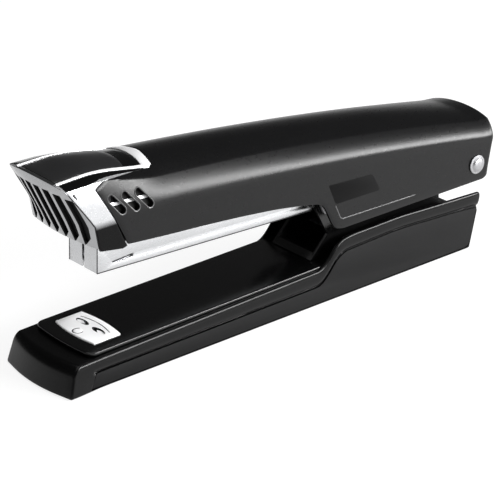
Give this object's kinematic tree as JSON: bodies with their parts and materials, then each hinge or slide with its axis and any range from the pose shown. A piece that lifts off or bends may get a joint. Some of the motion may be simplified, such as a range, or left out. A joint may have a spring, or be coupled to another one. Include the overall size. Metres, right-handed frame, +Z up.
{
  "type": "desktop stapler",
  "caption": "Full-strip desktop stapler: hollow base with anvil, spring-loaded magazine and vaulted cover with a chromed grille nose, all turning on a rear pin.",
  "frame": {"origin": "on the table, under the middle of the stapler's bounding box", "axes": "+X from the nose to the hinge at the rear, +Z up, +Y across the stapler to the side that is its left when it is seen from its nose end with the base down"},
  "size_m": [0.1908, 0.039, 0.0716],
  "materials": {
    "base_plastic": "satin-gloss black moulded plastic",
    "panel_plastic": "fine-grained matte charcoal plastic",
    "sole_rubber": "matte black non-slip rubber",
    "deck_lacquer": "gloss black lacquer on steel",
    "bright_steel": "nickel-plated steel, bright",
    "black_steel": "gloss black enamel on pressed steel",
    "plain_steel": "satin zinc-plated steel",
    "spring_steel": "oiled spring steel",
    "nylon": "dark moulded nylon",
    "cover_plastic": "satin charcoal plastic with a fine grain",
    "chrome_trim": "chrome-plated plastic",
    "inlay_gloss": "polished black plastic"
  },
  "bodies": {
    "base": {"base_shell": "base_plastic", "base_sole": "sole_rubber", "side_panel_left": "panel_plastic", "side_panel_right": "panel_plastic", "deck_plate": "deck_lacquer", "anvil_plate": "bright_steel", "anvil_rivet": "bright_steel", "hinge_bracket": "black_steel", "bracket_rivet_front": "plain_steel", "bracket_rivet_rear": "plain_steel", "return_spring": "spring_steel", "hinge_pin": "plain_steel"},
    "magazine": {"magazine_channel": "bright_steel", "staple_rail": "bright_steel", "anchor_block": "nylon", "guide_rod": "plain_steel", "pusher_spring": "spring_steel"},
    "pusher": {"staple_pusher": "plain_steel"},
    "cover": {"cover_shell": "cover_plastic", "cover_frame": "plain_steel", "cover_spring": "spring_steel", "spring_rivet": "plain_steel", "blade_rivet": "plain_steel", "slot_strip_left": "chrome_trim", "slot_strip_right": "chrome_trim", "nose_cap": "chrome_trim", "cap_inlay": "inlay_gloss", "cap_band_left": "inlay_gloss", "cap_band_right": "inlay_gloss", "driver_blade": "plain_steel"}
  },
  "joints": [
    {"name": "magazine_hinge", "type": "hinge", "parent": "base", "child": "magazine", "pos_m": [0.08446, 0, 0.0332], "axis": [0, 1, 0], "range_deg": [-7.6, 25], "stiffness_Nm_per_rad": 6, "springref_deg": 1.15, "deforming": ["return_spring"]},
    {"name": "cover_hinge", "type": "hinge", "parent": "magazine", "child": "cover", "pos_m": [0.08446, 0, 0.0332], "axis": [0, 1, 0], "range_deg": [-3, 85], "stiffness_Nm_per_rad": 0.6, "springref_deg": 7.45, "deforming": ["cover_spring"]},
    {"name": "pusher_slide", "type": "slide", "parent": "magazine", "child": "pusher", "axis": [0.9992, 0, -0.0393], "range_m": [0, 0.095], "stiffness_N_per_m": 40, "springref_m": -0.05, "deforming": ["pusher_spring"]}
  ]
}
